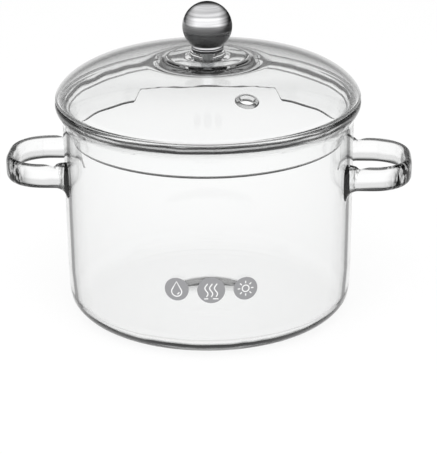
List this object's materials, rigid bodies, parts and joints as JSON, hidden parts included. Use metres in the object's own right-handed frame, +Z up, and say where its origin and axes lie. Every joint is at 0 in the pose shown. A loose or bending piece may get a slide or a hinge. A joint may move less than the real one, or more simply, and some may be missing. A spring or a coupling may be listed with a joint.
{
  "type": "saucepan with glass lid",
  "caption": "Round clear-glass saucepan with a flared lip and glass loop handles, and a lift-off domed glass lid with a steam vent, a notched skirt and a steel ball knob.",
  "frame": {"origin": "centre of the base, on the plane that the saucepan stands on", "axes": "+Z up, +X through the middle of the right handle, +Y to the back, where the notch in the lid's skirt is"},
  "size_m": [0.227, 0.1698, 0.1767],
  "materials": {
    "glass": "clear fire-polished borosilicate glass",
    "knob_steel": "turned stainless steel with fine rings round the upright axis",
    "screw_steel": "bright plated steel",
    "silicone": "translucent white silicone",
    "black_rubber": "matt black rubber of the flat seal under the knob",
    "ink": "grey enamel ink of the marks printed on the front of the pot"
  },
  "bodies": {
    "pot": {"pot_body": "glass", "right_handle": "glass", "left_handle": "glass"},
    "lid": {"lid_glass": "glass", "upper_seal": "black_rubber", "knob_collar": "knob_steel", "knob_ball": "knob_steel", "knob_insert": "screw_steel", "lower_seal": "silicone", "screw_washer": "screw_steel", "knob_screw": "screw_steel"}
  },
  "joints": [
    {"name": "lid_lift", "type": "slide", "parent": "pot", "child": "lid", "axis": [0, 0, 1], "range_m": [0, 0.06]}
  ]
}
